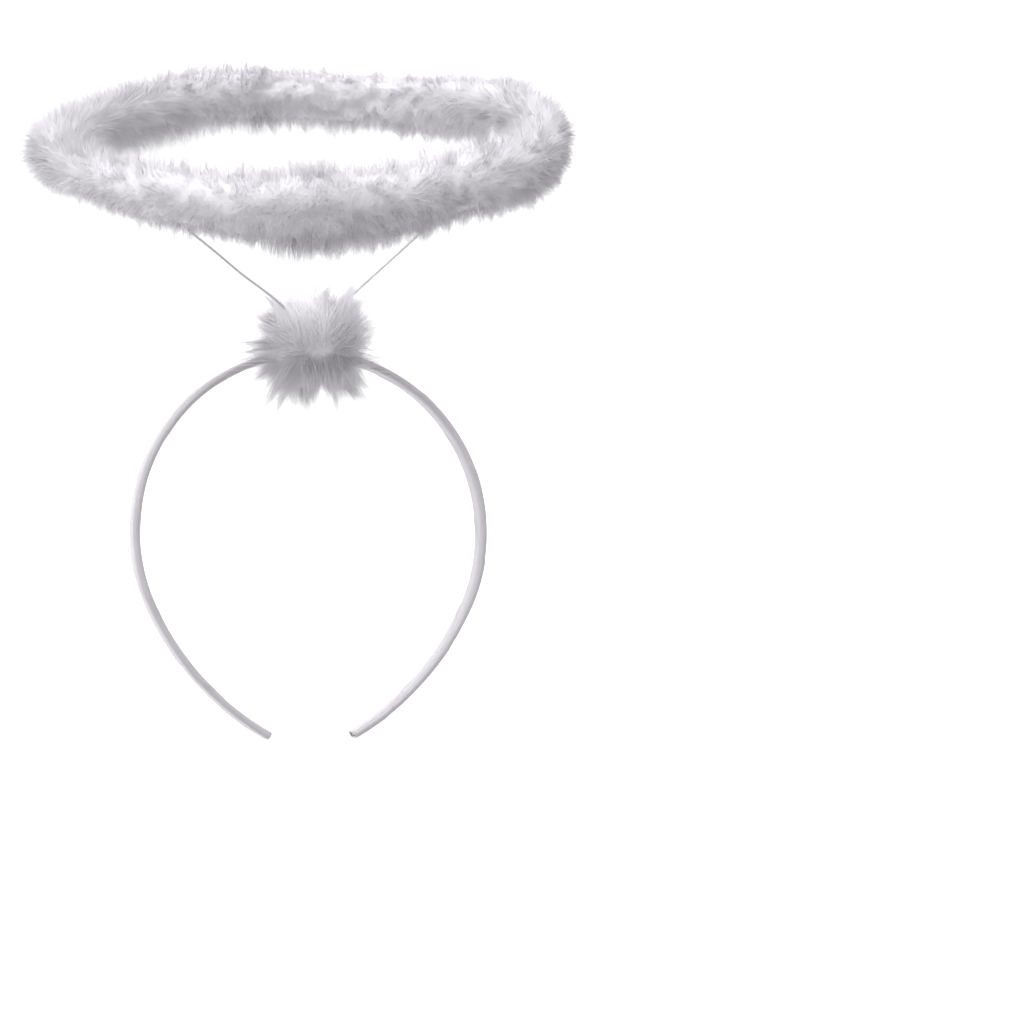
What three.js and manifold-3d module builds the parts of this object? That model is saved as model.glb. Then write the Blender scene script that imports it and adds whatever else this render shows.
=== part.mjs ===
// A halo headband: a springy strip wound in satin ribbon, with a ring of marabou down held above it on a
// thin wire, and a puff of the same down over the wire's foot.
//
// Lengths are in millimetres. Each piece is made in the headband's upright frame, where +X is to the right
// seen from the front, +Y is to the back and +Z is up, with the centre of the crown's arc at the origin.
// The last section lays the headband down on its back, as it rests by itself.
import * as THREE from "three";
import { mergeVertices } from "three/addons/utils/BufferGeometryUtils.js";
import Module from "manifold-3d";

const wasm = await Module();
wasm.setup();

// Driving dimensions of the headband
const crownRadius = 64.3; // middle line of the strip over the head
const crownDipDeg = 25.7; // how far that arc runs on below its widest place
const legRadius = 103; // the flatter arc of each leg
const legTurnDeg = 35; // how far a leg turns in towards its tip
const bandWidth = 8; // front to back, over the ribbon
const bandThickness = 2.8; // over the ribbon
const bandCorner = 0.8; // cut off each long edge
const ribbonWall = 0.5;
const ribbonLap = 0.3; // how far a turn's edge stands up over the turn before
const ribbonPitch = 34; // from one turn's edge to the next, along the band
const stripRecess = 0.8; // the strip ends this far inside the ribbon
const clearance = 0.3; // between neighbouring pieces

// Driving dimensions of the wire
const wireDiameter = 1;
const stemHeight = 8.5; // from the band's middle line to where the legs part
const partingShare = 1.15; // radius of the blob where they part, as a share of the wire's
const legBow = 1.5; // how far a leg bends out of its straight line
const leftLegForwardDeg = 39; // where the left leg meets the ring, forward of its left side
const rightLegForwardDeg = 1; // and the right leg, forward of its right side
const haloNodDeg = 24; // the halo is tipped to the front
const haloTurnDeg = 20; // and that front is turned a little to the left
const haloAside = -4; // its middle is a little to the left of the crown
const haloRise = 76.5; // from the band's middle line up to the ring's middle
const haloRadius = 87.5; // middle line of the ring

// Driving dimensions of the down
const boaBody = 9.5; // radius of the dense middle of the boa
const boaReach = 14.5; // from the ring's line to the lock tips
const boaRows = 8; // locks round the boa's section
const boaLocksRound = 50; // locks round the ring, in each row
const restSquash = 2.5; // how far the down gives where it lies on a surface
const puffBody = 12.5; // radius of the dense middle of the pompom
const puffReach = 20; // from its centre to the lock tips
const puffRise = 4.5; // of its centre over the band's middle line
const lockLean = 0.5; // how far a lock may lean, as a share of its length
const lockDroop = 0.3; // how far it hangs, as a share of its length
const lockUneven = 0.08; // how much longer or shorter than its neighbours it may be, as a share
const wispSpreadDeg = 20; // how far round a wisp of the pompom the locks are longer

// Steps of the faceted surfaces
const bandSteps = 71;
const legSteps = 8;
const wireSides = 6;
const ringSteps = 44;
const skinSteps = 2; // from one lock to the next
const puffLockSplit = 2; // how often the pompom's skin is split to place its locks

const deg = THREE.MathUtils.degToRad;

// Where the down of the boa is longer or shorter than elsewhere, round the ring from its right side
// towards its back: the place and spread in degrees, and the share that the locks gain.
const boaTufts = [
  { place: 18, spread: 14, gain: 0.28 },
  { place: 95, spread: 18, gain: 0.38 },
  { place: 150, spread: 10, gain: -0.16 },
  { place: 170, spread: 11, gain: 0.3 },
  { place: 186, spread: 7, gain: -0.22 },
  { place: 253, spread: 22, gain: 0.22 },
  { place: 325, spread: 16, gain: 0.1 },
];

// Where single locks of the pompom stand out: direction in the front view, in degrees from the right
// side upwards, lean to the front in degrees, and how much longer they are as a share of the puff's reach.
const puffWisps = [
  { turn: 262, lean: 25, gain: 0.35 },
  { turn: 192, lean: 10, gain: 0.32 },
  { turn: 170, lean: 20, gain: 0.22 },
  { turn: 350, lean: 15, gain: 0.3 },
  { turn: 12, lean: -10, gain: 0.18 },
  { turn: 118, lean: 12, gain: 0.12 },
  { turn: 74, lean: 5, gain: 0.1 },
];

// Materials
const matte = (color, roughness) => new THREE.MeshStandardMaterial({ color, roughness, metalness: 0 });
const satin = matte(0xe9e5ea, 0.42);
const plastic = matte(0xd9d2c6, 0.55);
const thread = matte(0xe4e1e6, 0.8);
const down = matte(0xe7e4ea, 1);

// Solids: three.js shapes turned into closed bodies that can be joined and cut, and back again
function closed(geometry) {
  const bare = new THREE.BufferGeometry();
  bare.setAttribute("position", geometry.getAttribute("position"));
  if (geometry.index) bare.setIndex(geometry.index);
  return mergeVertices(bare, 1e-4);
}

function solidOf(geometry) {
  const skin = closed(geometry);
  return new wasm.Manifold(
    new wasm.Mesh({
      numProp: 3,
      vertProperties: skin.getAttribute("position").array,
      triVerts: new Uint32Array(skin.index.array),
    }),
  );
}

function meshOf(solid, name, material) {
  const { vertProperties, triVerts } = solid.getMesh();
  const geometry = new THREE.BufferGeometry();
  geometry.setAttribute("position", new THREE.BufferAttribute(vertProperties, 3));
  geometry.setIndex(new THREE.BufferAttribute(triVerts, 1));
  geometry.computeVertexNormals();
  return named(geometry, name, material);
}

function named(geometry, name, material) {
  const mesh = new THREE.Mesh(geometry, material);
  mesh.name = name;
  return mesh;
}

// Numbers that vary from lock to lock and stay the same from run to run
function variation(seed) {
  let state = seed;
  return (low, high) => {
    state = (Math.imul(state, 1664525) + 1013904223) >>> 0;
    return low + ((high - low) * state) / 2 ** 32;
  };
}

// The band's middle line, from the right tip over the crown to the left tip: a leg, the crown, a leg
const legLength = deg(legTurnDeg) * legRadius;
const crownLength = deg(180 + 2 * crownDipDeg) * crownRadius;
const bandLength = 2 * legLength + crownLength;

class BandLine extends THREE.Curve {
  // side is 1 on the right and -1 on the left; the leg's centre lies on the line through the crown's
  legCentre(side) {
    const inward = crownRadius - legRadius;
    return new THREE.Vector3(side * inward * Math.cos(deg(crownDipDeg)), 0, -inward * Math.sin(deg(crownDipDeg)));
  }

  getPoint(t, target = new THREE.Vector3()) {
    const fromTip = bandLength * Math.min(t, 1 - t);
    const side = t < 0.5 ? 1 : -1;
    if (fromTip < legLength) {
      const turned = deg(crownDipDeg) + (legLength - fromTip) / legRadius;
      target.set(side * Math.cos(turned), 0, -Math.sin(turned)).multiplyScalar(legRadius);
      return target.add(this.legCentre(side));
    }
    const turned = (fromTip - legLength) / crownRadius - deg(crownDipDeg);
    return target.set(side * Math.cos(turned), 0, Math.sin(turned)).multiplyScalar(crownRadius);
  }

  // How far along the band a point beside it lies, and how far outside the middle line
  locate(point) {
    const side = point.x < 0 ? -1 : 1;
    const dip = Math.atan2(-point.z, Math.abs(point.x));
    const onLeg = dip > deg(crownDipDeg);
    const centre = onLeg ? this.legCentre(side) : new THREE.Vector3();
    const from = point.clone().sub(centre).setY(0);
    const turned = Math.atan2(-from.z, side * from.x);
    const fromTip = onLeg
      ? legLength - (turned - deg(crownDipDeg)) * legRadius
      : legLength + (deg(crownDipDeg) - turned) * crownRadius;
    return {
      along: side > 0 ? fromTip : bandLength - fromTip,
      outside: from.length() - (onLeg ? legRadius : crownRadius),
      outward: from.normalize(),
    };
  }
}
const bandLine = new BandLine();
const bandTop = crownRadius;

// A rectangle with its corners cut, across the band: front to back by thickness
function bandSection(width, thickness, corner) {
  const [x, y] = [width / 2, thickness / 2];
  const outline = [
    [x - corner, -y],
    [x, corner - y],
    [x, y - corner],
    [x - corner, y],
    [corner - x, y],
    [-x, y - corner],
    [-x, corner - y],
    [corner - x, -y],
  ];
  return new THREE.Shape(outline.map(([u, v]) => new THREE.Vector2(u, v)));
}

// The strip: the section inside the ribbon, drawn along the band a little short of both tips
const cavityWidth = bandWidth - 2 * ribbonWall;
const cavityThickness = bandThickness - 2 * ribbonWall;
const cavityCorner = bandCorner / 2;

function bandCore() {
  const section = bandSection(cavityWidth - 2 * clearance, cavityThickness - 2 * clearance, cavityCorner / 2);
  const strip = solidOf(new THREE.ExtrudeGeometry(section, { steps: bandSteps, extrudePath: bandLine, curveSegments: 1 }));
  return meshOf(strip.subtract(tipCutter(1)).subtract(tipCutter(-1)), "band_core", plastic);
}

// A block that takes the last stripRecess of the strip off, square to the leg
function tipCutter(side) {
  const depth = bandWidth;
  const block = new THREE.BoxGeometry(3 * bandThickness, 2 * bandWidth, 2 * depth);
  const turned = deg(crownDipDeg + legTurnDeg);
  const tip = bandLine.getPoint(side > 0 ? 0 : 1);
  block.translate(0, 0, stripRecess - depth);
  block.rotateY(side * turned);
  block.translate(tip.x, tip.y, tip.z);
  return solidOf(block);
}

// The ribbon: a sleeve round the strip, whose outer face and edges rise along each turn to the turn's
// own edge and drop there, on a slant, because the ribbon is wound
function ribbonWrap() {
  const section = bandSection(bandWidth, bandThickness, bandCorner);
  section.holes.push(bandSection(cavityWidth, cavityThickness, cavityCorner));
  const sleeve = new THREE.ExtrudeGeometry(section, { steps: bandSteps, extrudePath: bandLine, curveSegments: 1 });
  const place = sleeve.getAttribute("position");
  const point = new THREE.Vector3();
  for (let i = 0; i < place.count; i++) {
    point.fromBufferAttribute(place, i);
    const { along, outside, outward } = bandLine.locate(point);
    const onEdge = Math.abs(point.y) > (bandWidth - ribbonWall) / 2;
    const onFace = outside > (bandThickness - ribbonWall) / 2;
    if (!onEdge && !onFace) continue;
    const turns = along / ribbonPitch + point.y / (2 * bandWidth);
    const rise = ribbonLap * (turns - Math.floor(turns));
    if (onFace) point.addScaledVector(outward, rise);
    if (onEdge) point.y += Math.sign(point.y) * rise;
    place.setXYZ(i, point.x, point.y, point.z);
  }
  return meshOf(solidOf(sleeve), "ribbon_wrap", satin);
}

// The halo's own frame: its centre over the crown, nodding about a level line that is turned to the left
const nodLine = new THREE.Vector3(Math.cos(deg(haloTurnDeg)), -Math.sin(deg(haloTurnDeg)), 0);
const haloFrame = new THREE.Matrix4()
  .makeRotationAxis(nodLine, deg(haloNodDeg))
  .setPosition(haloAside, 0, bandTop + haloRise);

// Places round the ring: 0 on its right, 90 at its back
function ringPoint(placeDeg) {
  const turned = deg(placeDeg);
  return new THREE.Vector3(haloRadius * Math.cos(turned), haloRadius * Math.sin(turned), 0);
}

const legPlaces = [180 + leftLegForwardDeg, -rightLegForwardDeg];

// The line of one leg, from where the two part up to the ring
function legLine(placeDeg) {
  const foot = new THREE.Vector3(0, 0, bandTop + stemHeight);
  const head = ringPoint(placeDeg).applyMatrix4(haloFrame);
  const bend = foot.clone().lerp(head, 0.5);
  bend.z -= legBow;
  return new THREE.QuadraticBezierCurve3(foot, bend, head);
}

function wireSection(radius) {
  const outline = [];
  for (let i = 0; i < wireSides; i++) {
    const turned = (2 * Math.PI * i) / wireSides;
    outline.push(new THREE.Vector2(radius * Math.cos(turned), radius * Math.sin(turned)));
  }
  return new THREE.Shape(outline);
}

// The legs and stem as round bars of some radius: the wire itself, or the way that it needs in the down
function wireBars(radius, stemFoot) {
  const stem = new THREE.CylinderGeometry(radius, radius, bandTop + stemHeight - stemFoot, wireSides);
  stem.rotateX(Math.PI / 2);
  stem.translate(0, 0, (bandTop + stemHeight + stemFoot) / 2);
  const joint = new THREE.IcosahedronGeometry(partingShare * radius, 1);
  joint.translate(0, 0, bandTop + stemHeight);
  return legPlaces
    .map((place) => new THREE.ExtrudeGeometry(wireSection(radius), { steps: legSteps, extrudePath: legLine(place) }))
    .reduce((bars, leg) => bars.add(solidOf(leg)), solidOf(stem).add(solidOf(joint)));
}

function ringBar(radius) {
  const ring = new THREE.TorusGeometry(haloRadius, radius, wireSides, ringSteps);
  return solidOf(ring.applyMatrix4(haloFrame));
}

const wireRadius = wireDiameter / 2;
const wayRadius = (wireRadius + clearance) / Math.cos(Math.PI / wireSides);
const wireFoot = bandTop + bandThickness / 2 + ribbonLap + clearance;

function haloWire() {
  return meshOf(wireBars(wireRadius, wireFoot).add(ringBar(wireRadius)), "halo_wire", thread);
}

// Draws a closed skin out into locks: each one pulls the skin round its root after it, to a point
function drawOut(skin, locks, spread) {
  const place = skin.getAttribute("position");
  const point = new THREE.Vector3();
  const moved = new THREE.Vector3();
  for (let i = 0; i < place.count; i++) {
    moved.copy(point.fromBufferAttribute(place, i));
    for (const { root, pull } of locks) {
      const share = 1 - point.distanceTo(root) / spread;
      if (share > 0) moved.addScaledVector(pull, share * share);
    }
    place.setXYZ(i, moved.x, moved.y, moved.z);
  }
  return solidOf(skin);
}

// The pull of one lock: outwards, leaning to some side and hanging a little
function lockPull(outward, length, vary) {
  const pull = new THREE.Vector3(vary(-1, 1), vary(-1, 1), vary(-1, 1)).multiplyScalar(lockLean);
  pull.z -= lockDroop;
  return pull.addScaledVector(outward, -pull.dot(outward)).add(outward).multiplyScalar(length);
}

// How much longer the down is at a place round the ring
function tuftGain(placeDeg) {
  return boaTufts.reduce((gain, tuft) => {
    const apart = THREE.MathUtils.euclideanModulo(placeDeg - tuft.place + 180, 360) - 180;
    return gain + tuft.gain * Math.exp(-((apart / tuft.spread) ** 2));
  }, 0);
}

// The boa: a round skin drawn out into locks, with ways for the ring wire and the legs
function haloBoa(surface) {
  const vary = variation(11);
  const [around, along] = [boaRows * skinSteps, boaLocksRound * skinSteps];
  const locks = [];
  for (let row = 0; row < boaRows; row++) {
    for (let i = 0; i < boaLocksRound; i++) {
      const placeDeg = ((i + row / skinSteps) * 360) / boaLocksRound;
      const rise = (row * 2 * Math.PI) / boaRows;
      const onLine = ringPoint(placeDeg);
      const outward = onLine.clone().normalize().multiplyScalar(Math.cos(rise));
      outward.z = Math.sin(rise);
      const reach = boaReach * (1 + tuftGain(placeDeg)) * vary(1 - lockUneven, 1 + lockUneven);
      const root = onLine.addScaledVector(outward, boaBody);
      locks.push({ root, pull: lockPull(outward, reach - boaBody, vary) });
    }
  }
  const skin = closed(new THREE.TorusGeometry(haloRadius, boaBody, around, along));
  return drawOut(skin, locks, (2 * Math.PI * boaBody) / boaRows)
    .transform(haloFrame.elements)
    .subtract(ringBar(wayRadius))
    .subtract(wireBars(wayRadius, wireFoot))
    .subtract(surface);
}

// How much longer than the others a lock of the pompom is, near the direction of each wisp
function wispGain(outward) {
  return puffWisps.reduce((gain, { turn, lean, gain: most }) => {
    const flat = Math.cos(deg(lean));
    const wisp = new THREE.Vector3(flat * Math.cos(deg(turn)), -Math.sin(deg(lean)), flat * Math.sin(deg(turn)));
    return gain + most * Math.max(0, 1 - wisp.angleTo(outward) / deg(wispSpreadDeg));
  }, 0);
}

// The pompom: a ball's skin drawn out into locks, with ways for the band and the wire
function pompom() {
  const vary = variation(5);
  const roots = closed(new THREE.IcosahedronGeometry(puffBody, puffLockSplit)).getAttribute("position");
  const locks = [];
  for (let i = 0; i < roots.count; i++) {
    const root = new THREE.Vector3().fromBufferAttribute(roots, i);
    const outward = root.clone().normalize();
    const reach = puffReach * (1 + wispGain(outward)) * vary(1 - lockUneven, 1 + lockUneven);
    locks.push({ root, pull: lockPull(outward, reach - puffBody, vary) });
  }
  const skin = closed(new THREE.IcosahedronGeometry(puffBody, skinSteps * (puffLockSplit + 1) - 1));
  const puff = drawOut(skin, locks, puffBody / (puffLockSplit + 1)).translate([0, 0, bandTop + puffRise]);
  const way = bandSection(
    bandWidth + 2 * (ribbonLap + clearance),
    bandThickness + 2 * (ribbonLap + clearance),
    bandCorner,
  );
  const bandWay = new THREE.ExtrudeGeometry(way, { steps: bandSteps, extrudePath: bandLine, curveSegments: 1 });
  const cut = puff.subtract(solidOf(bandWay)).subtract(wireBars(wayRadius, bandTop));
  return meshOf(largest(cut), "pompom", down);
}

// The biggest of a solid's separate bodies
function largest(solid) {
  return solid.decompose().reduce((a, b) => (b.volume() > a.volume() ? b : a));
}

// How the headband lies on its back: on the rear edge of its two tips and on the down at the halo's back,
// which gives a little. The lean is the angle between the surface and the headband's upright line.
const ribbon = ribbonWrap();
const lean = restingLean(ribbon.geometry.getAttribute("position"));

// A surface that touches some point of the ribbon has to pass under the whole ring, so it leans as far as
// the ring's worst point asks. Of those surfaces the right one leans least: no other point is under it.
function restingLean(places) {
  const ringLine = [];
  for (let i = 0; i < ringSteps; i++) {
    ringLine.push(ringPoint((360 * i) / ringSteps).applyMatrix4(haloFrame));
  }
  let least = Math.PI;
  for (let i = 0; i < places.count; i++) {
    const leans = ringLine.map((onRing) => {
      const [back, up] = [onRing.y - places.getY(i), onRing.z - places.getZ(i)];
      return Math.atan2(back, up) + Math.asin((boaReach - restSquash) / Math.hypot(back, up));
    });
    least = Math.min(least, Math.max(...leans));
  }
  return least;
}

// What the headband lies on, as a block in the upright frame that the down is cut back to
function surfaceBlock() {
  const size = 4 * (crownRadius + haloRadius);
  const block = new THREE.BoxGeometry(size, size, size);
  block.rotateX(Math.PI / 2 - lean);
  const away = new THREE.Vector3(0, -Math.cos(lean), Math.sin(lean));
  const places = ribbon.geometry.getAttribute("position");
  const point = new THREE.Vector3();
  let level = Infinity;
  for (let i = 0; i < places.count; i++) {
    level = Math.min(level, point.fromBufferAttribute(places, i).dot(away));
  }
  away.multiplyScalar(level - size / 2);
  block.translate(away.x, away.y, away.z);
  return solidOf(block);
}

// The headband, laid down and set with the middle of its footprint at the origin
const band = new THREE.Group();
band.add(bandCore(), ribbon);

const halo = new THREE.Group();
halo.add(haloWire(), meshOf(largest(haloBoa(surfaceBlock())), "halo_boa", down), pompom());

const resting = new THREE.Group();
resting.add(band, halo);
resting.rotation.x = lean - Math.PI / 2;

const headband = new THREE.Group();
headband.add(resting);
const bounds = new THREE.Box3().setFromObject(headband, true);
const middle = bounds.getCenter(new THREE.Vector3());
resting.position.set(-middle.x, -middle.y, -bounds.min.z);

export default headband;
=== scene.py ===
# %% [markdown]
# # A halo headband in Blender
#
# A springy plastic strip, wound in satin ribbon, carries a thin covered wire. The wire holds a ring of
# marabou, a trim of soft white down, over the head, and a small puff of the same down hides its foot.
# The headband lies on its back here, as it rests by itself, and is seen from its front, so the camera
# looks down at it. Its hard pieces come from a finished construction model. This file gives each of
# them its look: ribbon that is really wound, wire that is really covered, and down made of fine barbs.

# %% Load the construction model
import math

import bmesh
import bpy
import numpy as np
from mathutils import Matrix, Vector, noise


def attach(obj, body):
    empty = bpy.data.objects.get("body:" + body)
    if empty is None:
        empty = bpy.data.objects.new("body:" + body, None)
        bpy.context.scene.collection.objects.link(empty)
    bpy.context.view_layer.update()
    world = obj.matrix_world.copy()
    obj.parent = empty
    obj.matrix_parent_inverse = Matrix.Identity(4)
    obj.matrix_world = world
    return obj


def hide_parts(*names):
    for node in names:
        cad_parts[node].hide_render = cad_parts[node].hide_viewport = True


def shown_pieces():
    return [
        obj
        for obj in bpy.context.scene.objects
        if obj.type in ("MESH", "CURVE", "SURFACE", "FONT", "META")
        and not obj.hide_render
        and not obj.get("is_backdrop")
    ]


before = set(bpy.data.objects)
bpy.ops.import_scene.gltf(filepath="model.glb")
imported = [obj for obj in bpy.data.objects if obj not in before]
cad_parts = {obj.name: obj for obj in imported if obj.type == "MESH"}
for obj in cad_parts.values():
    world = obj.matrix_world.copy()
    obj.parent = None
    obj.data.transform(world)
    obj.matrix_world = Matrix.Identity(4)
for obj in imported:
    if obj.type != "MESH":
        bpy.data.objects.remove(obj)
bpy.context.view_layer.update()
MM = 0.001
print("pieces of the model:", sorted(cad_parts))

# %% [markdown]
# The headband is easiest to think of standing upright: X to the right, Y to the back and Z up, with the
# middle of the crown's arc at the origin. It lies on its back, though, so that frame has to be found
# first. The plastic strip gives it away. The strip is a flat arch, so its points spread least along one
# line, from front to back, and an eigenvector of their covariance is that line. This is better than
# typing an angle, because the pieces then follow the model if it is ever made to lie another way.

# %% Find the upright frame of the headband
CROWN_RADIUS = 64.3 * MM
STRIP_THICKNESS = 1.2 * MM


def points_of(name):
    """The points of one piece of the model, as it lies."""
    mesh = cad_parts[name].data
    flat = np.empty(3 * len(mesh.vertices))
    mesh.vertices.foreach_get("co", flat)
    return flat.reshape(-1, 3)


strip_points = points_of("band_core")
_, lines = np.linalg.eigh(np.cov(strip_points.T))
backwards = lines[:, 0] * -np.sign(lines[2, 0])
rightwards = np.array([1.0, 0.0, 0.0])
upwards = np.cross(rightwards, backwards)
turn = np.stack([rightwards, backwards, upwards], axis=1)
strip_upright = strip_points @ turn
strip_middle = (strip_upright.min(0) + strip_upright.max(0)) / 2
crown_top = strip_upright[:, 2].max() - STRIP_THICKNESS / 2
origin = turn @ np.array([strip_middle[0], strip_middle[1], crown_top - CROWN_RADIUS])
upright = Matrix(turn.tolist()).to_4x4()
upright.translation = Vector(origin.tolist())
print("the headband leans", round(math.degrees(math.atan2(upwards[2], upwards[1])), 1), "degrees")


def laid_down(points):
    """Points of the upright frame, moved to where the headband lies."""
    return points @ turn.T + origin


# %% [markdown]
# Two short curves carry everything else. The band is three arcs in one plane: a leg, the crown and a
# leg. The halo's wire is a circle in a plane of its own, which nods to the front and to the left.
# Written as functions of the distance along the band, and of the place round the ring, they can be asked
# for any point, together with the directions that a ribbon or a barb needs there.

# %% The band's middle line
CROWN_DIP = math.radians(25.7)
LEG_RADIUS = 103 * MM
LEG_TURN = math.radians(35)
LEG_LENGTH = LEG_TURN * LEG_RADIUS
BAND_LENGTH = 2 * LEG_LENGTH + (math.pi + 2 * CROWN_DIP) * CROWN_RADIUS


def band_line(along):
    """Middle line and outward direction at some distances from the band's right tip."""
    along = np.asarray(along, dtype=float)
    side = np.where(along < BAND_LENGTH / 2, 1.0, -1.0)
    from_tip = np.where(side > 0, along, BAND_LENGTH - along)
    on_leg = from_tip < LEG_LENGTH
    leg_turned = CROWN_DIP + (LEG_LENGTH - from_tip) / LEG_RADIUS
    crown_turned = CROWN_DIP - (from_tip - LEG_LENGTH) / CROWN_RADIUS
    turned = np.where(on_leg, leg_turned, crown_turned)
    radius = np.where(on_leg, LEG_RADIUS, CROWN_RADIUS)
    inward = np.where(on_leg, CROWN_RADIUS - LEG_RADIUS, 0.0)
    outward = np.stack([side * np.cos(turned), np.zeros_like(turned), -np.sin(turned)], axis=-1)
    centre = np.stack(
        [side * inward * math.cos(CROWN_DIP), np.zeros_like(turned), -inward * math.sin(CROWN_DIP)],
        axis=-1,
    )
    return centre + radius[..., None] * outward, outward


print("the band is", round(BAND_LENGTH / MM), "mm long")

# %% The ring's middle line
BAND_TOP = CROWN_RADIUS
HALO_NOD = math.radians(24)
HALO_TURN = math.radians(20)
HALO_RADIUS = 87.5 * MM
halo_middle = np.array([-4 * MM, 0.0, BAND_TOP + 76.5 * MM])
nod_line = Vector((math.cos(HALO_TURN), -math.sin(HALO_TURN), 0))
halo_turn = np.array(Matrix.Rotation(HALO_NOD, 3, nod_line))
ring_axis = halo_turn[:, 2]


def ring_line(place):
    """Middle line, outward and forward directions at some places round the ring, 0 on its right."""
    place = np.asarray(place, dtype=float)
    level = np.zeros_like(place)
    outward = np.stack([np.cos(place), np.sin(place), level], axis=-1) @ halo_turn.T
    forward = np.stack([-np.sin(place), np.cos(place), level], axis=-1) @ halo_turn.T
    return halo_middle + HALO_RADIUS * outward, outward, forward


print("the ring is", round(2 * HALO_RADIUS / MM), "mm across")

# %% [markdown]
# The camera comes next, because it decides how much detail can be seen. It stands where the photograph
# was taken from, a little to the left of the headband's front and level with the band. The headband
# doesn't sit in the middle of the picture, so the camera is first aimed at a point of the band and then
# turned until that point falls where it should. Turning keeps the perspective of the photograph.

# %% Camera
VIEW_YAW = math.radians(14.9)
VIEW_RISE = math.radians(-2.4)
VIEW_ROLL = math.radians(0.39)
VIEW_DISTANCE = 907 * MM
FOCAL_PX = 2507.6
PICTURE_PX = 1024
aim = Vector((0, 0, 10 * MM))
AIM_PX = (312.2, 504.3)


def make_camera():
    """A camera that sees the upright headband as the photograph does."""
    away = Vector(
        (
            -math.sin(VIEW_YAW) * math.cos(VIEW_RISE),
            -math.cos(VIEW_YAW) * math.cos(VIEW_RISE),
            math.sin(VIEW_RISE),
        )
    )
    right = away.cross(Vector((0, 0, -1))).normalized()
    up = away.cross(right)
    facing = Matrix((right, up, away)).transposed().to_4x4()
    across = math.atan((AIM_PX[0] - PICTURE_PX / 2) / FOCAL_PX)
    down = math.atan((AIM_PX[1] - PICTURE_PX / 2) / FOCAL_PX)
    aside = Matrix.Rotation(across, 4, "Y") @ Matrix.Rotation(down, 4, "X")
    roll = Matrix.Rotation(VIEW_ROLL, 4, "Z")
    data = bpy.data.cameras.new("Camera")
    data.sensor_width = 36
    data.lens = data.sensor_width * FOCAL_PX / PICTURE_PX
    camera = bpy.data.objects.new("Camera", data)
    bpy.context.scene.collection.objects.link(camera)
    camera.matrix_world = upright @ Matrix.Translation(aim + away * VIEW_DISTANCE) @ facing @ roll @ aside
    bpy.context.scene.camera = camera
    return camera


camera = make_camera()
print("the camera is", round(camera.matrix_world.translation.z / MM), "mm over the floor")

# %% [markdown]
# Shader nodes are quickest to read when they are written as formulas. The small class below holds one
# socket, and each operator that is used on it adds the Math node for it, also with a plain number on the
# left. The second class is a material under construction: one method adds any other node, sets its
# settings first and then its sockets, and another joins the results to the surface shader.

# %% Formulas for shader nodes
class Signal:
    """A socket's value that can be used in a formula."""

    def __init__(self, nodes, socket):
        self.nodes = nodes
        self.socket = socket

    def maths(self, operation, *values):
        return self.nodes.node("ShaderNodeMath", {"operation": operation}, dict(enumerate(values)))

    def __add__(self, other):
        return self.maths("ADD", self, other)

    def __radd__(self, other):
        return self.maths("ADD", other, self)

    def __mul__(self, other):
        return self.maths("MULTIPLY", self, other)

    def __rmul__(self, other):
        return self.maths("MULTIPLY", other, self)

    def sine(self):
        return self.maths("SINE", self)

    def part(self, name):
        """One number of a vector: X, Y or Z."""
        return self.nodes.node("ShaderNodeSeparateXYZ", {}, {"Vector": self}, name)


class Nodes:
    """A node tree that is built by adding nodes and plugging values or signals into them."""

    def __init__(self, tree):
        self.tree = tree

    def node(self, kind, settings=None, inputs=None, output=0):
        made = self.tree.nodes.new(kind)
        for name, value in (settings or {}).items():
            setattr(made, name, value)
        for name, value in (inputs or {}).items():
            self.plug(made.inputs[name], value)
        return Signal(self, made.outputs[output])

    def plug(self, socket, value):
        if isinstance(value, Signal):
            self.tree.links.new(value.socket, socket)
        else:
            socket.default_value = value


class Finish(Nodes):
    """A material under construction. Its constants are set on the shader's own sockets."""

    def __init__(self, name, **constants):
        self.material = bpy.data.materials.new(name)
        self.material.use_nodes = True
        super().__init__(self.material.node_tree)
        self.surface = self.tree.nodes["Principled BSDF"]
        for socket, value in constants.items():
            self.surface.inputs[socket.replace("_", " ")].default_value = value

    def mix(self, share, first, second):
        """A colour between two others."""
        inputs = {"Factor": share, 6: first, 7: second}
        return self.node("ShaderNodeMix", {"data_type": "RGBA"}, inputs, 2)

    def noise(self, scale, detail=2.0, roughness=0.5):
        inputs = {"Scale": scale, "Detail": detail, "Roughness": roughness}
        inputs["Vector"] = self.node("ShaderNodeTexCoord", {}, {}, "Object")
        return self.node("ShaderNodeTexNoise", {}, inputs)

    def bump(self, height, distance, strength=1.0):
        inputs = {"Height": height, "Distance": distance, "Strength": strength}
        return self.node("ShaderNodeBump", {}, inputs)

    def set(self, **links):
        for socket, value in links.items():
            self.plug(self.surface.inputs[socket.replace("_", " ")], value)
        return self.material


SATIN_CAST = (1.0, 0.955, 1.01)


def grey(value, tint=(1.0, 0.98, 1.01)):
    """A near-white with the faint violet cast of bleached down and satin."""
    return (value * tint[0], value * tint[1], value * tint[2], 1)


print("helpers for materials are ready")

# %% [markdown]
# White down on a white ground is all soft greys, so the light matters more than any colour. A strong lamp
# would make the ground white but flatten the down and draw shadows. So the ground is a light table, as
# for product pictures: it glows by itself, and lights the undersides of the down a little from below. The
# sky does the modelling: it is bright beyond the halo and dark towards the band's tips, so the lower side
# of each tuft and of the ribbon falls darker. Two wide lamps add soft light from above, and a small one
# draws the satin's narrow bright line.

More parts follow.
